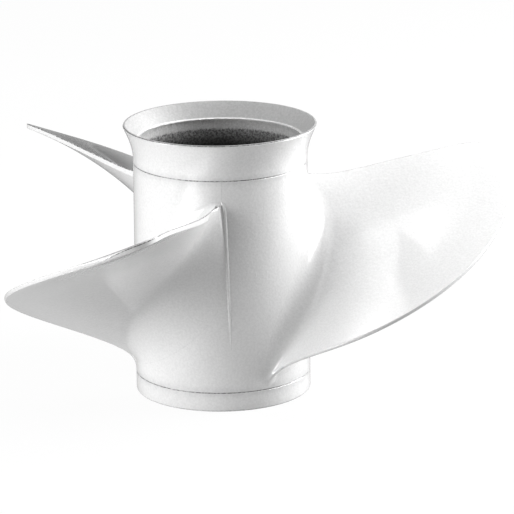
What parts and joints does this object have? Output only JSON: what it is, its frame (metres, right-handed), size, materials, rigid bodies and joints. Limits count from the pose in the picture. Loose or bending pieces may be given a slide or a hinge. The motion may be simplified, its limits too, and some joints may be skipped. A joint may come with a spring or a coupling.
{
  "type": "outboard motor propeller",
  "caption": "Right-hand three-blade boat propeller with exhaust through its hub, flared rear ring, webbed inner hub, rubber bushing and splined sleeve.",
  "frame": {"origin": "centre of mass, on the shaft axis, 78.0 mm above the front end's face", "axes": "+Z along the shaft axis, from the front end (towards the gearcase) to the flared rear end"},
  "size_m": [0.3111, 0.3348, 0.1698],
  "materials": {
    "white_paint": "gloss",
    "inner_paint": "satin",
    "black_rubber": "matte",
    "bronze": "satin"
  },
  "bodies": {
    "root": {"front_collar": "white_paint", "hub_barrel": "white_paint", "diffuser_ring": "white_paint", "blade_1": "white_paint", "blade_2": "white_paint", "blade_3": "white_paint", "inner_hub": "inner_paint", "web_1": "inner_paint", "web_2": "inner_paint", "web_3": "inner_paint", "rubber_bushing": "black_rubber", "splined_sleeve": "bronze"}
  },
  "joints": []
}
